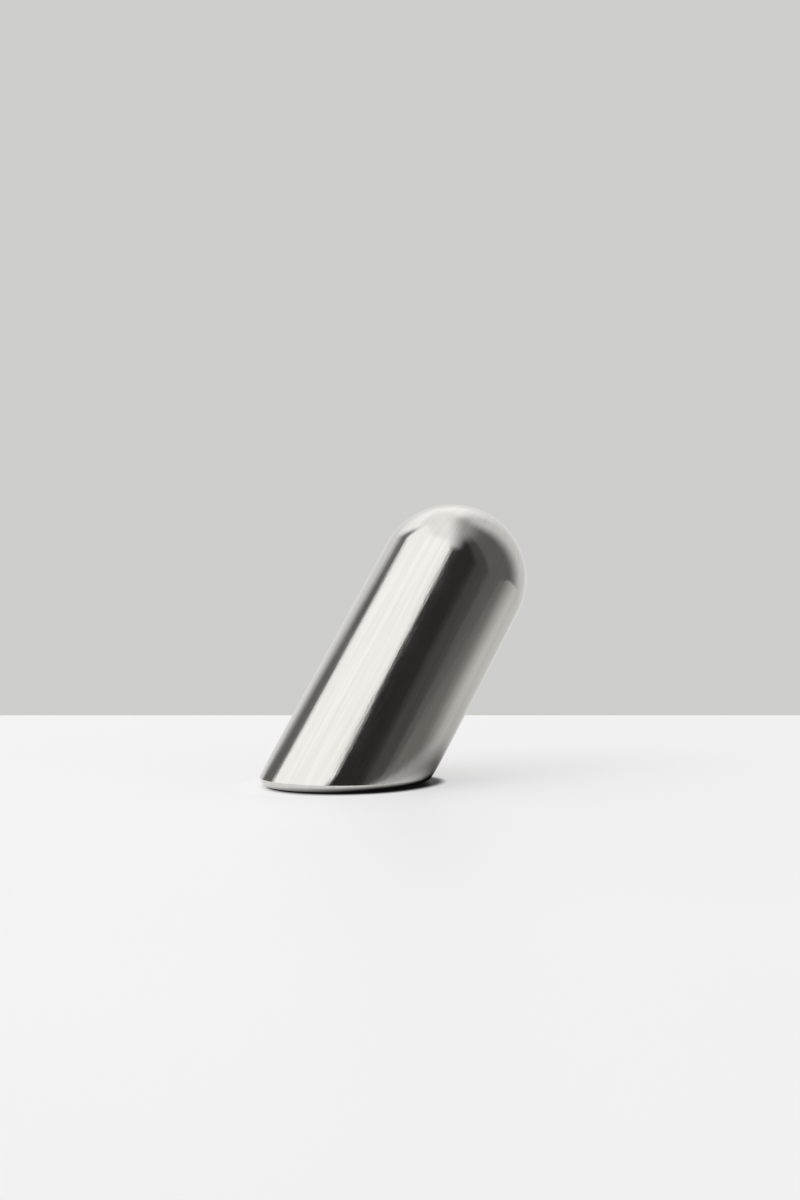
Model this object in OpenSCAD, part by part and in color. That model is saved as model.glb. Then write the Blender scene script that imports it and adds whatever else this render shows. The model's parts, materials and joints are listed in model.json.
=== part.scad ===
// Eyeglasses display stand: a short brushed steel tube with a domed end that leans
// back over an obliquely cut foot. The bridge of a pair of glasses rests on the dome.
//
// Frame: millimetres, +Z up, Z = 0 on the resting face. The tube's axis passes through
// the origin and leans towards +Y, so the glasses face -Y. X = 0 is a plane of symmetry.

/* [Tube] */
// Outside diameter of the tube and the dome
tube_d = 35; // [34:1:60]
// Thickness of the tube's wall
tube_wall = 2.5; // [2.5:0.1:3]
// Lean of the tube's axis from the vertical, in degrees
lean = 35; // [15:1:40]
// Length along the axis, from the resting face to the centre of the dome
axis_len = 56; // [50:1:120]

/* [Dome] */
// Thickness of the domed cap's wall
dome_wall = 2; // [1:0.5:3]
// How far the cap's spigot reaches into the tube
spigot_len = 5; // [3:0.5:10]
// Thickness of the spigot's wall
spigot_wall = 1.5; // [1:0.1:2]

/* [Foot] */
// How far the pad lifts the tube's lower edge off the surface
stand_off = 0.5; // [0.2:0.1:0.8]
// Height and inset of the bevel round the tube's lower edge, at its sides
edge_bevel = 1.3; // [0.5:0.1:1.3]
// How much the bevel favours the sharp front edge: 0 is even, 1 is an equal setback
bevel_bias = 0.6; // [0:0.1:1]
// Thickness of the anti-slip pad
pad_t = 1.2; // [1:0.1:2]
// Thickness of the closing plate above the pad
plate_t = 2.5; // [2.4:0.1:4]

/* [Ballast] */
// Top of the ballast slug, measured along the axis from the resting face
ballast_top = 30; // [26:1:40]
// Chamfer round the slug's top edge
ballast_chamfer = 1; // [0.5:0.1:2]

/* [Screws] */
// Number of screws that hold the closing plate to the ballast
screw_count = 3; // [1:2:5]
// Radius of the circle that the screws stand on
screw_circle_r = 9; // [8:0.5:9]
// Thread diameter of a screw
screw_d = 4; // [3:0.5:4]
// Length of a screw, with its head
screw_len = 10; // [8:1:12]

/* [Hidden] */

$fn = 96;

tube_r = tube_d / 2;
bore_r = tube_r - tube_wall;

// Radial gap round each piece that slides into the bore
bore_gap = 0.05;
// Radial gap round the pad, which goes in last
pad_gap = 0.2;
// Radial gap between a screw and its holes
screw_gap = 0.05;

plate_z = pad_t;
ballast_z = plate_z + plate_t;

// Countersunk head of a screw: a 90 degree cone with a hexagon socket
head_r = screw_d;
head_h = head_r - screw_d / 2;
socket_flats = 0.625 * screw_d;
socket_r = socket_flats / sqrt(3);
socket_depth = 0.6 * head_h;
// Thread length tapped in the slug beyond a screw's tip
tap_reserve = 1.5;
// Centre of the screw circle, behind the origin as the slug leans that way
screw_circle_y = ballast_z * tan(lean) - 1;

// Height over which the bevel's cone is drawn, which is past where it leaves the tube
bevel_reach = 2 * edge_bevel + 0.5;
thin = 0.01;
// Half width of the blocks that cut the leaning pieces level
block = 4 * tube_d;
// Length below the origin at which a leaning piece starts, before it is cut level
root = 2 * tube_d;
eps = 0.01;

// Tilts a piece that was drawn along +Z to lie along the tube's axis
module leaning() {
    rotate([-lean, 0, 0])
        children();
}

// Solid round bar along the tube's axis, ending at the distance s_top from the origin
module leaning_bar(r, s_top) {
    leaning()
        translate([0, 0, -root])
            cylinder(r = r, h = root + s_top);
}

// Everything between two levels
module level_slab(z_low, z_high) {
    translate([-block, -block, z_low])
        cube([2 * block, 2 * block, z_high - z_low]);
}

// Cone that the tube's lower edge is bevelled to. Each level has the oval shape of the
// tube's own section, and the cone is moved back to make the bevel wider at the front.
module foot_bevel() {
    hull()
        for (rise = [0, bevel_reach])
            translate([
                0,
                (stand_off + rise + bevel_bias * edge_bevel) * tan(lean),
                stand_off + rise
            ])
                scale([1, 1 / cos(lean), 1])
                    cylinder(r = tube_r - edge_bevel + rise, h = thin);
}

// Repeats a piece at each screw's place, with its origin on the plate's underside
module at_screws() {
    for (i = [0 : screw_count - 1])
        let (a = 90 + i * 360 / screw_count)
            translate([
                screw_circle_r * cos(a),
                screw_circle_y + screw_circle_r * sin(a),
                plate_z
            ])
                children();
}

// Outline of a screw, grown by a gap all round for its holes
module screw_outline(gap, shank_len) {
    cylinder(r1 = head_r + gap, r2 = screw_d / 2 + gap, h = head_h);
    cylinder(r = screw_d / 2 + gap, h = shank_len);
}

// Brushed tube: square at the top, cut level at the foot, with a bevelled lower edge
module tube_body() {
    color([0.72, 0.71, 0.69])
        difference() {
            leaning_bar(tube_r, axis_len);
            leaning_bar(bore_r, axis_len + eps);
            level_slab(-block, stand_off);
            difference() {
                level_slab(stand_off - eps, stand_off + bevel_reach);
                foot_bevel();
            }
        }
}

// Hemispherical cap with a spigot that centres it in the tube's open end
module dome_cap() {
    color([0.76, 0.75, 0.73])
        leaning()
            translate([0, 0, axis_len])
                difference() {
                    union() {
                        intersection() {
                            sphere(r = tube_r);
                            translate([-block, -block, 0])
                                cube(2 * block);
                        }
                        translate([0, 0, -spigot_len])
                            cylinder(r = bore_r - bore_gap, h = spigot_len + eps);
                    }
                    intersection() {
                        sphere(r = tube_r - dome_wall);
                        translate([-block, -block, dome_wall])
                            cube(2 * block);
                    }
                    translate([0, 0, -spigot_len - eps])
                        cylinder(
                            r = bore_r - bore_gap - spigot_wall,
                            h = spigot_len + dome_wall + 2 * eps
                        );
                }
}

// Slug of bar that fills the foot and keeps the weight over it
module ballast_slug() {
    slug_r = bore_r - bore_gap;
    shoulder = ballast_top - ballast_chamfer;
    color([0.28, 0.28, 0.29])
        difference() {
            union() {
                leaning_bar(slug_r, shoulder);
                leaning()
                    translate([0, 0, shoulder])
                        cylinder(r1 = slug_r, r2 = slug_r - ballast_chamfer, h = ballast_chamfer);
            }
            level_slab(-block, ballast_z);
            at_screws()
                cylinder(r = screw_d / 2 + screw_gap, h = screw_len + tap_reserve);
        }
}

// Level plate that closes the tube's lower end, countersunk for the screws
module base_plate() {
    color([0.60, 0.60, 0.60])
        difference() {
            intersection() {
                leaning_bar(bore_r - bore_gap, axis_len);
                level_slab(plate_z, plate_z + plate_t);
            }
            at_screws()
                translate([0, 0, -eps])
                    screw_outline(screw_gap, plate_t + 2 * eps);
        }
}

// Countersunk screws from the plate into the slug, covered by the pad
module plate_screws() {
    color([0.50, 0.50, 0.52])
        at_screws()
            difference() {
                screw_outline(0, screw_len);
                translate([0, 0, -eps])
                    cylinder(r = socket_r, h = socket_depth + eps, $fn = 6);
            }
}

// Rubber pad in the recess under the plate, the only piece that touches the surface
module anti_slip_pad() {
    color([0.05, 0.05, 0.05])
        intersection() {
            leaning_bar(bore_r - pad_gap, axis_len);
            level_slab(0, pad_t);
        }
}

tube_body();
dome_cap();
ballast_slug();
base_plate();
plate_screws();
anti_slip_pad();
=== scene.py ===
"""Looks of the eyeglasses display stand: brushed steel on a white table, in metres.

The CAD frame gives every place and size. The tube, the dome and the pad are remade here as
fine meshes with the same shapes; the hidden pieces keep their CAD meshes.
"""
import json
import math

import bpy
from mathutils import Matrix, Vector


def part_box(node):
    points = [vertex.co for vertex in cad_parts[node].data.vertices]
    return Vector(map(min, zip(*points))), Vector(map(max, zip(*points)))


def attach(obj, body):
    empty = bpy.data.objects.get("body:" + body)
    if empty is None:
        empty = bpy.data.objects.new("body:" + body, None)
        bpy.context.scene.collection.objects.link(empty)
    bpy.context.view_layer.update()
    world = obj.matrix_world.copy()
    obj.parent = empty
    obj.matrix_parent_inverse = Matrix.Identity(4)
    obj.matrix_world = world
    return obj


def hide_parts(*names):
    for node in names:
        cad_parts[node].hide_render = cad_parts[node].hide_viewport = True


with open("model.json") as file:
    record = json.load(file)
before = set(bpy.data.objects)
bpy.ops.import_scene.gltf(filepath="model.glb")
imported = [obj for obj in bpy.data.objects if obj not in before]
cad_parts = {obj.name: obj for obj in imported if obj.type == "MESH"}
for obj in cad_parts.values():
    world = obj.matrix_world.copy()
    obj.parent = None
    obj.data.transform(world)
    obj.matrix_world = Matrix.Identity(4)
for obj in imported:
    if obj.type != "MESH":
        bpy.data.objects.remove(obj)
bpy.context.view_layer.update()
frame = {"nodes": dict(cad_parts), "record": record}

MM = 0.001


# ---------------------------------------------------------------- places from the frame

def mount_place(name):
    """The position of one of the record's mounts."""
    for mount in frame["record"]["mounts"]:
        if mount["name"] == name:
            return Vector(mount["pos_m"])
    raise KeyError(name)


cap_lo, cap_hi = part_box("dome_cap")
tube_lo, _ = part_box("tube_body")
pad_lo, pad_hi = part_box("anti_slip_pad")
plate_lo, plate_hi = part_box("base_plate")

TUBE_R = (cap_hi.x - cap_lo.x) / 2
DOME_CENTRE = mount_place("nose_seat") - Vector((0, 0, TUBE_R))
AXIS_LEN = DOME_CENTRE.length
AXIS = DOME_CENTRE.normalized()
LEAN = math.atan2(DOME_CENTRE.y, DOME_CENTRE.z)
SIN, COS, TAN = math.sin(LEAN), math.cos(LEAN), math.tan(LEAN)

# The tube's cross directions: ACROSS lies level, DOWN points back and down under the lean
ACROSS = Vector((1, 0, 0))
DOWN = Vector((0, COS, -SIN))

# The sliding gap between the bore and what sits in it
BORE_GAP = 0.05 * MM

STAND_OFF = tube_lo.z
PAD_TOP = pad_hi.z
BORE_R = (plate_hi.x - plate_lo.x) / 2 + BORE_GAP
PAD_R = (pad_hi.x - pad_lo.x) / 2

# The foot's bevel: its mean height, and how much of it the lean shifts to the front
BEVEL = 1.3 * MM
BEVEL_BIAS = 0.6
# How far the bevel's face bulges from a straight line, as a share of its width
BEVEL_CROWN = 0.10
# The level oval that the bevel leaves at the foot
FOOT_R = TUBE_R - BEVEL
FOOT_CENTRE_Y = (STAND_OFF + BEVEL_BIAS * BEVEL) * TAN
# The brushing eases the wall inwards by this much at the bevel, fading over this reach
EASE = 0.25 * MM
EASE_REACH = 2.6 * MM
DOME_WALL = 2.0 * MM
SPIGOT_LEN = 5.0 * MM
SPIGOT_WALL = 1.5 * MM

# Points round each ring of the remade meshes
TURN_STEPS = 288


# ---------------------------------------------------------------- meshes in the tube's frame

def on_tube(radius, angle, along):
    """A point at a distance along the axis, at a radius and an angle round it."""
    side = ACROSS * math.cos(angle) + DOWN * math.sin(angle)
    return AXIS * along + side * radius


def level_section(radius, angle, height, centre_y):
    """A point on the level oval that a tube of this radius leaves at a height."""
    return Vector((
        radius * math.cos(angle),
        centre_y + radius / COS * math.sin(angle),
        height,
    ))


def cut_level(radius, angle, height):
    """A point on the wall of a tube of this radius, at a height above the table."""
    along = (height + radius * math.sin(angle) * SIN) / COS
    return on_tube(radius, angle, along)


def bevel_top_height(angle):
    """Height at which the bevel meets the tube's wall: more at the front, less at the back."""
    return STAND_OFF + BEVEL * (1 - BEVEL_BIAS * SIN * math.sin(angle))


def loft(name, rings, crisp=(), close_ends=False, loop=False):
    """A mesh through rings of points. crisp lists the rings whose edges stay sharp.

    Each ring is a function of the angle that returns a point and its place in the grain:
    the angle's direction at the tube's radius, and the distance along the surface. The
    rings start at the top, run down the outside and come back inside or underneath, which
    turns the faces outwards.
    """
    angles = [2 * math.pi * i / TURN_STEPS for i in range(TURN_STEPS)]
    points, grain = [], []
    for ring in rings:
        for angle in angles:
            point, arc = ring(angle)
            points.append(point)
            grain.append((TUBE_R * math.cos(angle), TUBE_R * math.sin(angle), arc))
    faces = []
    spans = len(rings) if loop else len(rings) - 1
    for row in range(spans):
        low = row * TURN_STEPS
        high = (row + 1) % len(rings) * TURN_STEPS
        for i in range(TURN_STEPS):
            j = (i + 1) % TURN_STEPS
            faces.append((low + i, high + i, high + j, low + j))
    if close_ends:
        last = (len(rings) - 1) * TURN_STEPS
        faces.append(tuple(range(TURN_STEPS)))
        faces.append(tuple(reversed(range(last, last + TURN_STEPS))))

    mesh = bpy.data.meshes.new(name)
    mesh.from_pydata([tuple(p) for p in points], [], faces)
    store = mesh.attributes.new("grain", "FLOAT_VECTOR", "POINT")
    store.data.foreach_set("vector", [value / MM for triple in grain for value in triple])
    mesh.update()
    mesh.polygons.foreach_set("use_smooth", [True] * len(mesh.polygons))
    sharp_rows = set(crisp)
    for edge in mesh.edges:
        row_a, row_b = (v // TURN_STEPS for v in edge.vertices)
        if row_a == row_b and row_a in sharp_rows:
            edge.use_edge_sharp = True
    piece = bpy.data.objects.new(name, mesh)
    bpy.context.scene.collection.objects.link(piece)
    return piece


def make_tube():
    """The tube: outer wall, bevelled foot, rim, bore and top face, as one closed skin."""
    wall_rows, bevel_rows = 32, 8

    def wall_ring(share):
        def ring(angle):
            low = cut_level(TUBE_R, angle, bevel_top_height(angle)).dot(AXIS)
            # The rows crowd towards the foot, where the wall is eased
            up = (AXIS_LEN - low) * share * share
            radius = TUBE_R - EASE * math.exp(-up / EASE_REACH)
            return on_tube(radius, angle, low + up), low + up
        return ring

    def bevel_ring(share):
        def ring(angle):
            low = cut_level(TUBE_R, angle, bevel_top_height(angle)).dot(AXIS)
            top = on_tube(TUBE_R - EASE, angle, low)
            foot = level_section(FOOT_R, angle, STAND_OFF, FOOT_CENTRE_Y)
            face = foot - top
            out = (ACROSS * math.cos(angle) + DOWN * math.sin(angle)) + Vector((0, 0, -1))
            # A parabola that reaches 1 halfway down the bevel
            bulge = 4 * share * (1 - share)
            crown = out.normalized() * face.length * BEVEL_CROWN * bulge
            return top + face * share + crown, top.dot(AXIS) - face.length * share
        return ring

    def bore_ring(share):
        def ring(angle):
            low = cut_level(BORE_R, angle, STAND_OFF).dot(AXIS)
            along = low + (AXIS_LEN - low) * share
            return on_tube(BORE_R, angle, along), along
        return ring

    rings = [wall_ring(1 - i / wall_rows) for i in range(wall_rows + 1)]
    rings += [bevel_ring((i + 1) / bevel_rows) for i in range(bevel_rows)]
    rings += [bore_ring(i / wall_rows) for i in range(wall_rows + 1)]
    foot_edge = wall_rows + bevel_rows
    crisp = (0, wall_rows, foot_edge, foot_edge + 1, len(rings) - 1)
    return loft("tube_skin", rings, crisp=crisp, loop=True)


def make_dome():
    """The domed cap: outer half sphere, hollow inside, with its spigot."""
    dome_rows = 72
    inner_rows = 24
    spigot_corners = 4
    # The last ring stops this short of the pole, and a small flat face closes it
    tip = math.radians(0.4)

    def sphere_ring(radius, rise):
        def ring(angle):
            point = DOME_CENTRE + on_tube(radius * math.cos(rise), angle, radius * math.sin(rise))
            return point, AXIS_LEN + TUBE_R * rise
        return ring

    def flat_ring(radius, along):
        def ring(angle):
            return on_tube(radius, angle, AXIS_LEN + along), AXIS_LEN + along
        return ring

    spigot_r = BORE_R - BORE_GAP
    mouth_r = spigot_r - SPIGOT_WALL
    hollow_r = TUBE_R - DOME_WALL
    hollow_start = math.asin(DOME_WALL / hollow_r)
    top = math.pi / 2 - tip
    rings = [sphere_ring(TUBE_R, top * (1 - i / dome_rows)) for i in range(dome_rows + 1)]
    rings += [
        flat_ring(spigot_r, 0),
        flat_ring(spigot_r, -SPIGOT_LEN),
        flat_ring(mouth_r, -SPIGOT_LEN),
        flat_ring(mouth_r, DOME_WALL),
    ]
    rings += [
        sphere_ring(hollow_r, hollow_start + (top - hollow_start) * i / inner_rows)
        for i in range(inner_rows + 1)
    ]
    crisp = range(dome_rows, dome_rows + spigot_corners + 2)
    return loft("dome_skin", rings, crisp=crisp, close_ends=True)


def make_pad():
    """The rubber pad: an oval sheet with a softened lower edge and a fine tread below."""
    edge = 0.18 * MM
    edge_steps = 4
    centre_hole = 0.2 * MM
    plain_rim = 1.5 * MM
    tread_rings = 26
    tread_depth = 0.08 * MM
    tread_slope = 0.1 * MM
    tread_share = 0.8
    centre_y = (pad_lo.y + pad_hi.y) / 2
    half_y = (pad_hi.y - pad_lo.y) / 2
    stretch = half_y / PAD_R

    def oval_ring(radius, height):
        def ring(angle):
            point = Vector((
                radius * math.cos(angle),
                centre_y + radius * stretch * math.sin(angle),
                height,
            ))
            return point, radius
        return ring

    rings = [oval_ring(centre_hole, PAD_TOP), oval_ring(PAD_R - edge, PAD_TOP)]
    rings += [oval_ring(PAD_R, PAD_TOP - edge)]
    for i in range(edge_steps + 1):
        turn = math.pi / 2 * i / edge_steps
        rings.append(oval_ring(
            PAD_R - edge * (1 - math.cos(turn)),
            edge * (1 - math.sin(turn)),
        ))
    land = PAD_R - plain_rim
    rings.append(oval_ring(land, 0))
    for i in range(tread_rings):
        groove = tread_depth if i % 2 == 0 else 0
        outer = land * (1 - i / tread_rings)
        inner = land * (1 - (i + tread_share) / tread_rings)
        rings.append(oval_ring(outer - tread_slope, groove))
        rings.append(oval_ring(inner, groove))
    return loft("pad_sheet", rings, crisp=(1, 2), close_ends=True)


# ---------------------------------------------------------------- materials

class Tree:
    """A node tree under construction, with short names for the steps it repeats."""

    def __init__(self, tree):
        self.tree = tree
        self.tree.nodes.clear()

    def add(self, kind, **settings):
        node = self.tree.nodes.new(kind)
        for key, value in settings.items():
            setattr(node, key, value)
        return node

    def join(self, source, target):
        self.tree.links.new(source, target)

    def feed(self, socket, value):
        """Links a socket to another, or sets it to a plain value."""
        if hasattr(value, "is_output"):
            self.join(value, socket)
        else:
            socket.default_value = value

    def place(self, source, scale):
        """The coordinates of a source socket, scaled along each axis."""
        node = self.add("ShaderNodeMapping")
        node.inputs["Scale"].default_value = scale
        self.join(source, node.inputs["Vector"])
        return node.outputs[0]

    def noise(self, place, scale, detail=2.0, roughness=0.5, distortion=0.0):
        node = self.add("ShaderNodeTexNoise")
        node.inputs["Scale"].default_value = scale
        node.inputs["Detail"].default_value = detail
        node.inputs["Roughness"].default_value = roughness
        node.inputs["Distortion"].default_value = distortion
        self.join(place, node.inputs["Vector"])
        return node.outputs["Fac"]

    def spread(self, source, low, high, from_low=0.0, from_high=1.0):
        """A value moved from one range to another, and held inside it."""
        node = self.add("ShaderNodeMapRange")
        node.inputs["From Min"].default_value = from_low
        node.inputs["From Max"].default_value = from_high
        node.inputs["To Min"].default_value = low
        node.inputs["To Max"].default_value = high
        self.join(source, node.inputs["Value"])
        return node.outputs["Result"]

    def math(self, operation, *values):
        node = self.add("ShaderNodeMath", operation=operation)
        for socket, value in zip(node.inputs, values):
            self.feed(socket, value)
        return node.outputs[0]

    def soft_step(self, source, start, end):
        """Rises smoothly from 0 to 1 while the source goes from start to end."""
        node = self.add("ShaderNodeMapRange", interpolation_type="SMOOTHSTEP")
        node.inputs["From Min"].default_value = start
        node.inputs["From Max"].default_value = end
        self.join(source, node.inputs["Value"])
        return node.outputs["Result"]

    def across(self, operation, vector, other, result="Vector"):
        """A vector operation between a socket and a fixed vector."""
        node = self.add("ShaderNodeVectorMath", operation=operation)
        self.join(vector, node.inputs[0])
        node.inputs[1].default_value = other
        return node.outputs[result]

    def dot(self, vector, axis):
        return self.across("DOT_PRODUCT", vector, axis, "Value")

    def turn_of(self, vector):
        """A direction's turn about the upright, in degrees, as in toward()."""
        turn = self.math("ARCTAN2", self.dot(vector, RIGHT), self.dot(vector, -AWAY))
        return self.math("MULTIPLY", turn, math.degrees(1))

    def rise_of(self, vector):
        """A unit direction's rise above level, in degrees."""
        return self.math("MULTIPLY", self.math("ARCSINE", self.dot(vector, UP)), math.degrees(1))

    def lay_over(self, under, over, share):
        """One colour laid over another by a share from 0 to 1."""
        node = self.add("ShaderNodeMix", data_type="RGBA")
        self.feed(node.inputs[0], share)
        self.feed(node.inputs[6], under)
        self.feed(node.inputs[7], over)
        return node.outputs[2]

    def ramp(self, source, stops):
        """A colour ramp through (place, colour) stops."""
        node = self.add("ShaderNodeValToRGB")
        band = node.color_ramp
        while len(band.elements) < len(stops):
            band.elements.new(0.5)
        for element, (place, colour) in zip(band.elements, stops):
            element.position = place
            element.color = (*colour, 1)
        self.join(source, node.inputs["Fac"])
        return node.outputs["Color"]

    def bump(self, depth, strength, distance, normal=None):
        """Relief in which a higher value lies deeper, as a scratch does."""
        node = self.add("ShaderNodeBump", invert=True)
        node.inputs["Strength"].default_value = strength
        node.inputs["Distance"].default_value = distance
        self.join(depth, node.inputs["Height"])
        if normal is not None:
            self.join(normal, node.inputs["Normal"])
        return node.outputs["Normal"]


class Finish(Tree):
    """A node material around one Principled shader."""

    def __init__(self, name):
        self.material = bpy.data.materials.new(name)
        self.material.use_nodes = True
        super().__init__(self.material.node_tree)
        self.shader = self.add("ShaderNodeBsdfPrincipled")
        output = self.add("ShaderNodeOutputMaterial")
        self.join(self.shader.outputs[0], output.inputs["Surface"])

    def set(self, socket, value):
        self.feed(self.shader.inputs[socket], value)


def brushed_steel(name, streak=1.0):
    """Stainless steel brushed along the tube: fine scratches, soft streaks, faint smudges."""
    nodes = Finish(name)
    grain = nodes.add("ShaderNodeAttribute", attribute_name="grain").outputs["Vector"]

    hairlines = nodes.noise(nodes.place(grain, (3.4, 3.4, 0.22)), 1.0, 3.0, 0.65)
    scratches = nodes.noise(nodes.place(grain, (1.1, 1.1, 0.04)), 1.0, 2.0, 0.5)
    bands = nodes.noise(nodes.place(grain, (0.35, 0.35, 0.012)), 1.0, 1.0, 0.5)
    speckle = nodes.noise(nodes.place(grain, (2.4, 2.4, 0.9)), 1.0, 2.0, 0.6)
    smudges = nodes.noise(grain, 0.07, 3.0, 0.55, 0.4)

    tone = nodes.math("MULTIPLY_ADD", scratches, 0.7, nodes.math("MULTIPLY", bands, 0.3))
    colour = nodes.ramp(tone, [
        (0.32, (0.572, 0.565, 0.549)),
        (0.50, (0.605, 0.598, 0.580)),
        (0.68, (0.638, 0.631, 0.614)),
    ])
    rough = nodes.spread(hairlines, 0.085, 0.135, 0.25, 0.75)
    rough = nodes.math("ADD", rough, nodes.spread(smudges, -0.02, 0.04, 0.35, 0.75))

    normal = nodes.bump(hairlines, 0.5 * streak, 0.02 * MM)
    normal = nodes.bump(scratches, 0.5 * streak, 0.03 * MM, normal)
    normal = nodes.bump(speckle, 0.25, 0.02 * MM, normal)
    nodes.set("Base Color", colour)
    nodes.set("Metallic", 1.0)
    nodes.set("Roughness", rough)
    nodes.set("Normal", normal)
    return nodes.material


def pad_rubber():
    """Matte black sheet rubber with a fine moulded grain."""
    nodes = Finish("pad_rubber_look")
    grain = nodes.add("ShaderNodeAttribute", attribute_name="grain").outputs["Vector"]
    fine = nodes.noise(grain, 6.0, 3.0, 0.6)
    cloudy = nodes.noise(grain, 0.4, 2.0, 0.5)
    nodes.set("Base Color", nodes.ramp(cloudy, [
        (0.3, (0.012, 0.012, 0.013)),
        (0.7, (0.024, 0.024, 0.025)),
    ]))
    nodes.set("Roughness", nodes.spread(fine, 0.62, 0.85, 0.3, 0.7))
    nodes.set("Normal", nodes.bump(fine, 0.35, 0.03 * MM))
    return nodes.material


def bare_metal(name, dark, light, rough_low, rough_high):
    """Machined metal inside the foot: turning marks and a mottled tone."""
    nodes = Finish(name)
    place = nodes.add("ShaderNodeTexCoord").outputs["Object"]
    millimetres = nodes.place(place, (1 / MM, 1 / MM, 1 / MM))
    marks = nodes.noise(nodes.place(millimetres, (0.6, 0.6, 6.0)), 1.0, 3.0, 0.6)
    mottle = nodes.noise(millimetres, 0.35, 4.0, 0.6)
    nodes.set("Base Color", nodes.ramp(mottle, [(0.3, dark), (0.7, light)]))
    nodes.set("Metallic", 1.0)
    nodes.set("Roughness", nodes.spread(marks, rough_low, rough_high, 0.3, 0.7))
    nodes.set("Normal", nodes.bump(marks, 0.25, 0.02 * MM))
    return nodes.material


def give(piece, material):
    """Puts one material on every face of a piece."""
    piece.data.materials.clear()
    piece.data.materials.append(material)


def dress(node, material):
    """Swaps the material in every slot of a CAD node."""
    for slot in frame["nodes"][node].material_slots:
        slot.material = material


# ---------------------------------------------------------------- the object

tube = make_tube()
give(tube, brushed_steel("tube_steel_look"))
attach(tube, "root")
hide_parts("tube_body")

dome = make_dome()
give(dome, brushed_steel("dome_steel_look", streak=0.6))
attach(dome, "root")
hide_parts("dome_cap")

pad = make_pad()
give(pad, pad_rubber())
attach(pad, "root")
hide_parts("anti_slip_pad")

cast_iron = bare_metal("ballast_look", (0.05, 0.05, 0.052), (0.10, 0.098, 0.095), 0.45, 0.7)
mill_steel = bare_metal("plate_look", (0.36, 0.36, 0.36), (0.46, 0.46, 0.455), 0.3, 0.45)
screw_steel = bare_metal("screw_look", (0.30, 0.30, 0.31), (0.42, 0.42, 0.43), 0.25, 0.4)
dress("ballast_slug", cast_iron)
dress("base_plate", mill_steel)
dress("plate_screws", screw_steel)


# ---------------------------------------------------------------- camera

# The photo's view, found by fitting the outlines of the tube, the dome and the foot
VIEW_AZIMUTH = math.radians(51.96)
VIEW_PITCH = math.radians(2.70)
CAMERA_PLACE = Vector((383.8, -283.4, 64.2)) * MM
LENS_MM = 63.3
SENSOR_MM = 36.0
# A last nudge to the fit, as shares of the picture's height
SHIFT_X = -0.0008
SHIFT_Y = 0.0005

AWAY = Vector((-math.sin(VIEW_AZIMUTH), math.cos(VIEW_AZIMUTH), 0))
RIGHT = Vector((math.cos(VIEW_AZIMUTH), math.sin(VIEW_AZIMUTH), 0))
UP = Vector((0, 0, 1))

camera_data = bpy.data.cameras.new("camera")
camera_data.lens = LENS_MM
camera_data.sensor_width = SENSOR_MM
camera_data.shift_x = SHIFT_X
camera_data.shift_y = SHIFT_Y
camera_data.clip_start = 0.01
camera_data.clip_end = 20
camera = bpy.data.objects.new("camera", camera_data)
bpy.context.scene.collection.objects.link(camera)
camera.location = CAMERA_PLACE
look = AWAY * math.cos(VIEW_PITCH) - UP * math.sin(VIEW_PITCH)
camera.rotation_euler = look.to_track_quat("-Z", "Y").to_euler()
bpy.context.scene.camera = camera


# ---------------------------------------------------------------- table and studio

def toward(turn_deg, rise_deg):
    """A direction from the stand: turn 0 faces the camera, and positive is to its right."""
    turn, rise = math.radians(turn_deg), math.radians(rise_deg)
    level = RIGHT * math.sin(turn) - AWAY * math.cos(turn)
    return level * math.cos(rise) + UP * math.sin(rise)


# From the stand to the table's far edge, and to its other edges
TABLE_BACK = 0.154
TABLE_REACH = 1.6
# How far the sheet that the steel mirrors lies below the one that the camera sees
MIRRORED_DROP = 0.1 * MM

# The painted light that the table gives off, and what is added near the foot and in front of it
TABLE_GLOW = 0.371
NEAR_GLOW = 0.06
FRONT_GLOW = 0.03
MIRRORED_GLOW = 0.30

# The turns, in degrees, of the foot's front, its dark side and the lee of the tube
FRONT = 10
DARK_SIDE = 60
LEE = 110

# The painted contact shade, in mm beyond the foot's outline: where it starts and how wide it is,
# and what the dark side, the bright side and the lee add to these
SHADE_START, START_DARK, START_LEE = -1.8, 2.2, 2.4
SHADE_WIDTH, WIDTH_DARK, WIDTH_BRIGHT, WIDTH_LEE = 4.4, -1.0, 4.0, -1.2
SHADE_LEAST_WIDTH = 1.2
SHADE_FLOOR = 0.012


def stage_card(name, corners, material):
    """A flat four-cornered card that belongs to the studio."""
    mesh = bpy.data.meshes.new(name)
    mesh.from_pydata([tuple(c) for c in corners], [], [(0, 1, 2, 3)])
    card = bpy.data.objects.new(name, mesh)
    bpy.context.scene.collection.objects.link(card)
    mesh.materials.append(material)
    return card


def from_foot(nodes):
    """For a place on the table: its distance in mm beyond the foot's oval outline, and how
    far it lies towards the foot's front, its dark side and the lee of the leaning tube.

    Front and lee run from 0 to 1 and gather round their turn; the dark side runs from -1
    on the bright side to 1.
    """
    place = nodes.add("ShaderNodeTexCoord").outputs["Object"]
    centred = nodes.across("SUBTRACT", place, (0, FOOT_CENTRE_Y, 0))
    rounded = nodes.across("MULTIPLY", centred, (1, COS, 0))
    reach = nodes.across("LENGTH", rounded, (0, 0, 0), "Value")
    gap = nodes.math("MULTIPLY_ADD", reach, 1 / MM, -FOOT_R / MM)
    heading = nodes.across("NORMALIZE", centred, (0, 0, 0))
    front = nodes.math("MAXIMUM", nodes.dot(heading, toward(FRONT, 0)), 0.0)
    dark_side = nodes.dot(heading, toward(DARK_SIDE, 0))
    lee = nodes.math("MAXIMUM", nodes.dot(heading, toward(LEE, 0)), 0.0)
    return gap, nodes.math("POWER", front, 3.0), dark_side, nodes.math("POWER", lee, 6.0)


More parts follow.
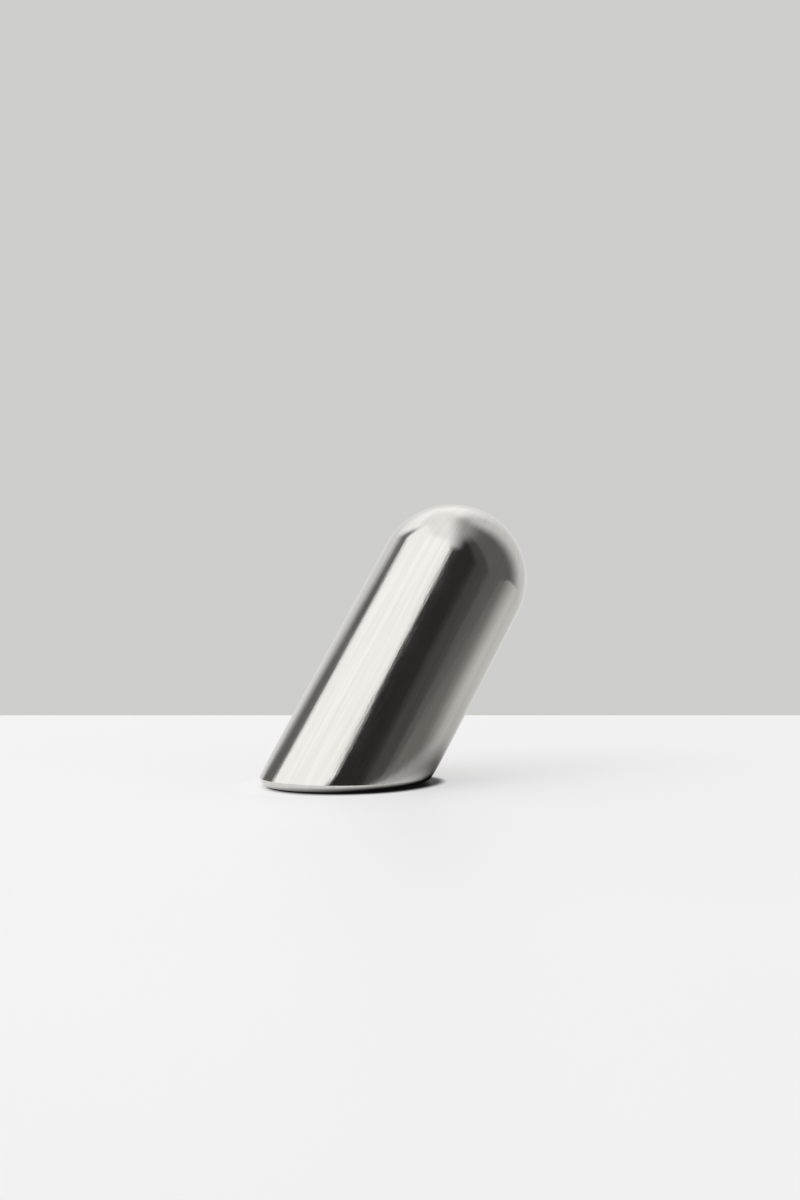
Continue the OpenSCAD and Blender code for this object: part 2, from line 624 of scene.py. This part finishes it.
def contact_shade(nodes, gap, dark_side, lee):
    """The light left on the table beside the foot, painted as shade: black at the contact, 1 well
    clear of it.
    """
    dark = nodes.math("MAXIMUM", dark_side, 0.0)
    bright = nodes.math("MINIMUM", dark_side, 0.0)
    start = nodes.math("MULTIPLY_ADD", lee, START_LEE, SHADE_START)
    start = nodes.math("MULTIPLY_ADD", dark, START_DARK, start)
    width = nodes.math("MULTIPLY_ADD", dark, WIDTH_DARK, SHADE_WIDTH)
    width = nodes.math("MULTIPLY_ADD", lee, WIDTH_LEE, width)
    width = nodes.math("MULTIPLY_ADD", bright, WIDTH_BRIGHT, width)
    width = nodes.math("MAXIMUM", width, SHADE_LEAST_WIDTH)
    share = nodes.math("DIVIDE", nodes.math("SUBTRACT", gap, start), width)
    return nodes.math("MAXIMUM", nodes.soft_step(share, 0, 1), SHADE_FLOOR)


def table_white():
    """The satin white table as the camera sees it, with a little painted light of its own."""
    nodes = Finish("table_white")
    place = nodes.add("ShaderNodeTexCoord").outputs["Object"]
    cloudy = nodes.noise(nodes.place(place, (4, 4, 4)), 1.0, 2.0, 0.5)
    white = nodes.ramp(cloudy, [
        (0.3, (0.49, 0.49, 0.493)),
        (0.7, (0.51, 0.51, 0.513)),
    ])
    gap, front, dark_side, lee = from_foot(nodes)
    shade = contact_shade(nodes, gap, dark_side, lee)
    # Painted light lifts the foot's own soft shadow close to it, and in front of it
    glow = nodes.math("MULTIPLY_ADD", nodes.soft_step(gap, 8, -1), NEAR_GLOW, TABLE_GLOW)
    front = nodes.math("MULTIPLY", front, nodes.soft_step(gap, 70, 5))
    glow = nodes.math("MULTIPLY_ADD", front, FRONT_GLOW, glow)
    # Painted contact shadow: the shade takes the base colour and the painted glow to black at the
    # foot
    nodes.set("Base Color", nodes.lay_over((0, 0, 0, 1), white, shade))
    nodes.set("Roughness", 0.50)
    nodes.set("Specular IOR Level", 0.10)
    nodes.set("Emission Color", (1, 1, 1, 1))
    nodes.set("Emission Strength", nodes.math("MULTIPLY", glow, shade))
    return nodes.material


def table_mirrored():
    """The table as the steel mirrors it: white in front and at the left, dim with painted shade at
    the right.
    """
    nodes = Finish("table_mirrored")
    gap, _, dark_side, lee = from_foot(nodes)
    place = nodes.add("ShaderNodeTexCoord").outputs["Object"]
    # Turns are taken from inside the tube's right side, which is what mirrors the dim part
    right_side = toward(70, 0) * TUBE_R * 0.7
    turn = nodes.turn_of(nodes.across("SUBTRACT", place, right_side))
    # The dim tone at the right is painted shade; the grey, a little darker than white, lies at the
    # back right
    white, dim, grey = (0.84, 0.84, 0.83, 1), (0.23, 0.225, 0.209, 1), (0.80, 0.79, 0.76, 1)
    painted_shade_share = nodes.math("MULTIPLY", nodes.soft_step(turn, 5, 45), nodes.soft_step(gap, -5, 42))
    colour = nodes.lay_over(white, dim, painted_shade_share)
    colour = nodes.lay_over(colour, grey, nodes.soft_step(turn, 80, 118))
    colour = nodes.lay_over(colour, white, nodes.soft_step(turn, 140, 178))
    # Painted shadow: the tube's on the right, and the contact shadow all round
    shadow = nodes.math("MULTIPLY", lee, nodes.soft_step(gap, 28, -3))
    shade = contact_shade(nodes, gap, dark_side, lee)
    shade = nodes.math("MULTIPLY", shade, nodes.math("SUBTRACT", 1.0, shadow))
    colour = nodes.lay_over((0, 0, 0, 1), colour, shade)
    nodes.set("Base Color", colour)
    nodes.set("Roughness", 0.8)
    nodes.set("Specular IOR Level", 0.0)
    nodes.set("Emission Color", colour)
    # Painted light: the sheet glows in its own colour close to the foot
    glow = nodes.math("MULTIPLY", nodes.soft_step(gap, 10, 4), MIRRORED_GLOW)
    nodes.set("Emission Strength", glow)
    return nodes.material


def table_sheet(name, height, material):
    """One face of the table, its far edge straight across the camera's view."""
    near = -AWAY * TABLE_REACH + UP * height
    far = AWAY * TABLE_BACK + UP * height
    half = RIGHT * TABLE_REACH
    return stage_card(name, [near - half, near + half, far + half, far - half], material)


# The camera sees the upper sheet, and the steel mirrors the lower one
table = table_sheet("table", 0.0, table_white())
table.visible_glossy = False
table.visible_diffuse = False
table.visible_shadow = False
mirrored = table_sheet("table_in_steel", -MIRRORED_DROP, table_mirrored())
mirrored.visible_camera = False


def add_key_light(turn_deg, rise_deg, distance, side, power):
    """A square soft lamp aimed at the stand's middle. The steel doesn't mirror it."""
    data = bpy.data.lights.new("key_softbox", "AREA")
    data.shape = "RECTANGLE"
    data.size = side
    data.size_y = side
    data.energy = power
    light = bpy.data.objects.new("key_softbox", data)
    bpy.context.scene.collection.objects.link(light)
    direction = toward(turn_deg, rise_deg)
    middle = UP * 0.03
    light.location = direction * distance + middle
    light.rotation_euler = (-direction).to_track_quat("-Z", "Y").to_euler()
    light.visible_camera = False
    light.visible_glossy = False


add_key_light(turn_deg=-62, rise_deg=45, distance=0.9, side=0.55, power=1.4)

# What the camera sees behind the table, and the even light on matt surfaces
BACKDROP = (0.616, 0.616, 0.603, 1)
FILL = (0.86, 0.86, 0.86, 1)

# The parts of the studio that the steel mirrors
DARK_ROOM = (0.034, 0.033, 0.032, 1)
FAINT_WALL = (0.085, 0.083, 0.079, 1)
WARM_WALL = (0.150, 0.146, 0.136, 1)
RIGHT_BACKDROP = (0.80, 0.79, 0.77, 1)
GREY_GAP = (0.17, 0.168, 0.163, 1)
LOWER_BACKDROP = (0.86, 0.86, 0.85, 1)
UPPER_BACKDROP = (1.32, 1.315, 1.29, 1)
DIM_CEILING = (0.42, 0.415, 0.40, 1)
LIT_CEILING = (1.20, 1.195, 1.17, 1)
SOFTBOX = (1.40, 1.395, 1.37, 1)


def make_world():
    """The studio round the stand: plain grey for the camera, and lit parts for the steel.

    The parts are laid out by turn and rise, in degrees, as in toward(). Each is laid over
    the ones before it.
    """
    world = bpy.data.worlds.new("studio")
    bpy.context.scene.world = world
    world.use_nodes = True
    nodes = Tree(world.node_tree)

    heading = nodes.add("ShaderNodeTexCoord").outputs["Generated"]
    turn = nodes.turn_of(heading)
    rise = nodes.rise_of(heading)

    # Behind the stand the backdrop's left edge leans, from a little above level upwards
    height = nodes.math("MAXIMUM", rise, 12.0)
    leaning = nodes.math("MULTIPLY_ADD", height, -0.5, nodes.math("ADD", turn, 0.5 * 26))
    left_part = nodes.soft_step(leaning, -131, -145.5)
    behind = nodes.math("MAXIMUM", left_part, nodes.soft_step(turn, 140, 178))

    # The ceiling is lit on the left side only
    side = nodes.dot(heading, RIGHT)
    lit = nodes.math("MULTIPLY", nodes.soft_step(rise, 44, 58), nodes.soft_step(side, 0.30, -0.12))

    # The softbox at the upper left has tilted sides, and its lower right corner is cut off
    tilted = nodes.math("MULTIPLY_ADD", rise, 0.35, nodes.math("ADD", turn, -0.35 * 41))
    corner = nodes.math("MAXIMUM", nodes.math("SUBTRACT", 34.0, rise), 0.0)
    right_edge = nodes.math("MULTIPLY_ADD", corner, 1.4, tilted)
    box = nodes.math("MULTIPLY", nodes.soft_step(rise, 6, 20), nodes.soft_step(rise, 70, 60))
    box = nodes.math("MULTIPLY", nodes.soft_step(tilted, -120.5, -114), box)
    box = nodes.math("MULTIPLY", box, nodes.soft_step(right_edge, 0.4, -4.3))

    light = DARK_ROOM
    for colour, share in (
        (FAINT_WALL, nodes.soft_step(turn, 34, 44)),
        (WARM_WALL, nodes.soft_step(turn, 56, 60)),
        (RIGHT_BACKDROP, nodes.soft_step(turn, 96, 135)),
        (GREY_GAP, nodes.soft_step(turn, -106, -112)),
        (LOWER_BACKDROP, behind),
        (UPPER_BACKDROP, nodes.math("MULTIPLY", behind, nodes.soft_step(rise, 14, 40))),
        (DIM_CEILING, nodes.soft_step(rise, 52, 76)),
        (LIT_CEILING, lit),
        (SOFTBOX, box),
    ):
        light = nodes.lay_over(light, colour, share)

    # Even fill for matt surfaces, the studio for mirrored rays, plain grey for the camera
    rays = nodes.add("ShaderNodeLightPath").outputs
    light = nodes.lay_over(FILL, light, rays["Is Glossy Ray"])
    light = nodes.lay_over(light, BACKDROP, rays["Is Camera Ray"])
    background = nodes.add("ShaderNodeBackground")
    nodes.join(light, background.inputs["Color"])
    output = nodes.add("ShaderNodeOutputWorld")
    nodes.join(background.outputs[0], output.inputs["Surface"])
    # The ray kinds above hold only where the world is not also sampled as a lamp
    world.cycles.sampling_method = "NONE"


make_world()
bpy.context.scene.view_settings.view_transform = "Standard"
